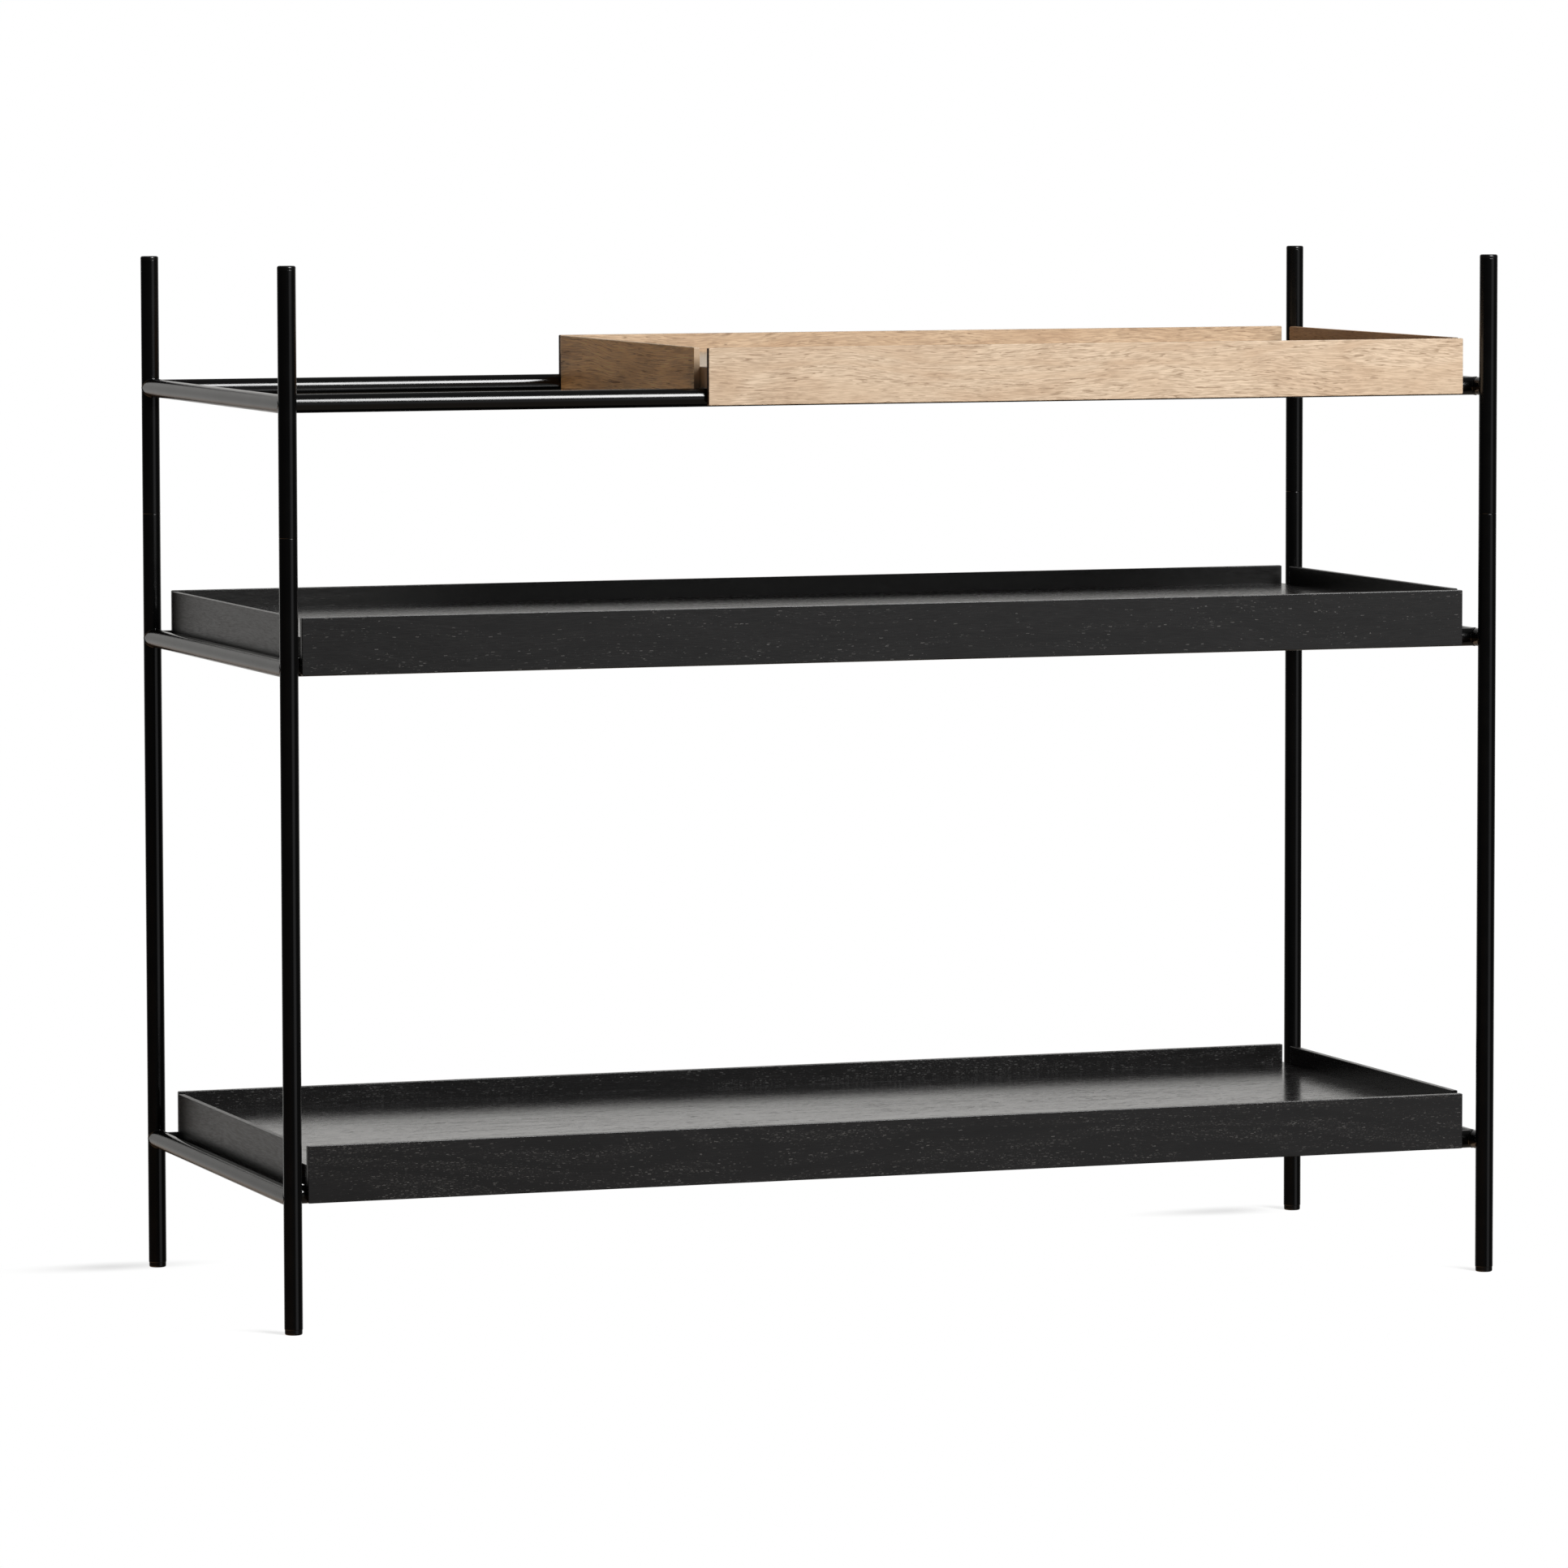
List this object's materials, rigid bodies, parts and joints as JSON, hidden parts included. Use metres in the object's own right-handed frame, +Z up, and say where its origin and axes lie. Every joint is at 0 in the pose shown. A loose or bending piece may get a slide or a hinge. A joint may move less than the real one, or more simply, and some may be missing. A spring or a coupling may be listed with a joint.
{
  "type": "desk hutch",
  "caption": "Free-standing open shelf: a welded frame of round steel tube on straight posts, with shallow veneered trays that rest on its rails; the short top tray slides along them.",
  "frame": {"origin": "centre of the footprint, on the floor, under the middle of the post rectangle", "axes": "+X to the right along the long rails, +Y from the front to the back, +Z up"},
  "size_m": [1.0012, 0.4066, 0.81],
  "materials": {
    "black_steel": "fine satin black powder coat",
    "bare_steel": "bright drawn steel, hidden inside the posts",
    "black_plastic": "matte moulded black polyethylene",
    "natural_oak": "oak veneer under a matt clear lacquer, grain along each board",
    "black_oak": "black-stained oak veneer under a satin lacquer, grain along each board"
  },
  "bodies": {
    "frame": {"lower_post_front_left": "black_steel", "upper_post_front_left": "black_steel", "joint_pin_front_left": "bare_steel", "foot_plug_front_left": "black_plastic", "top_cap_front_left": "black_plastic", "lower_post_front_right": "black_steel", "upper_post_front_right": "black_steel", "joint_pin_front_right": "bare_steel", "foot_plug_front_right": "black_plastic", "top_cap_front_right": "black_plastic", "lower_post_back_left": "black_steel", "upper_post_back_left": "black_steel", "joint_pin_back_left": "bare_steel", "foot_plug_back_left": "black_plastic", "top_cap_back_left": "black_plastic", "lower_post_back_right": "black_steel", "upper_post_back_right": "black_steel", "joint_pin_back_right": "bare_steel", "foot_plug_back_right": "black_plastic", "top_cap_back_right": "black_plastic", "bottom_left_end_rail": "black_steel", "bottom_right_end_rail": "black_steel", "bottom_front_rail": "black_steel", "bottom_back_rail": "black_steel", "middle_left_end_rail": "black_steel", "middle_right_end_rail": "black_steel", "middle_front_rail": "black_steel", "middle_back_rail": "black_steel", "top_left_end_rail": "black_steel", "top_right_end_rail": "black_steel", "top_front_rail": "black_steel", "top_back_rail": "black_steel"},
    "bottom_tray": {"bottom_tray_floor": "black_oak", "bottom_tray_front_rim": "black_oak", "bottom_tray_back_rim": "black_oak", "bottom_tray_left_rim": "black_oak", "bottom_tray_right_rim": "black_oak"},
    "middle_tray": {"middle_tray_floor": "black_oak", "middle_tray_front_rim": "black_oak", "middle_tray_back_rim": "black_oak", "middle_tray_left_rim": "black_oak", "middle_tray_right_rim": "black_oak"},
    "top_tray": {"top_tray_floor": "natural_oak", "top_tray_front_rim": "natural_oak", "top_tray_back_rim": "natural_oak", "top_tray_left_rim": "natural_oak", "top_tray_right_rim": "natural_oak"}
  },
  "joints": [
    {"name": "bottom_tray_lift", "type": "slide", "parent": "frame", "child": "bottom_tray", "axis": [0, 0, 1], "range_m": [0, 0.35]},
    {"name": "middle_tray_lift", "type": "slide", "parent": "frame", "child": "middle_tray", "axis": [0, 0, 1], "range_m": [0, 0.15]},
    {"name": "top_tray_slide", "type": "slide", "parent": "frame", "child": "top_tray", "axis": [1, 0, 0], "range_m": [-0.326, 0.005]}
  ]
}
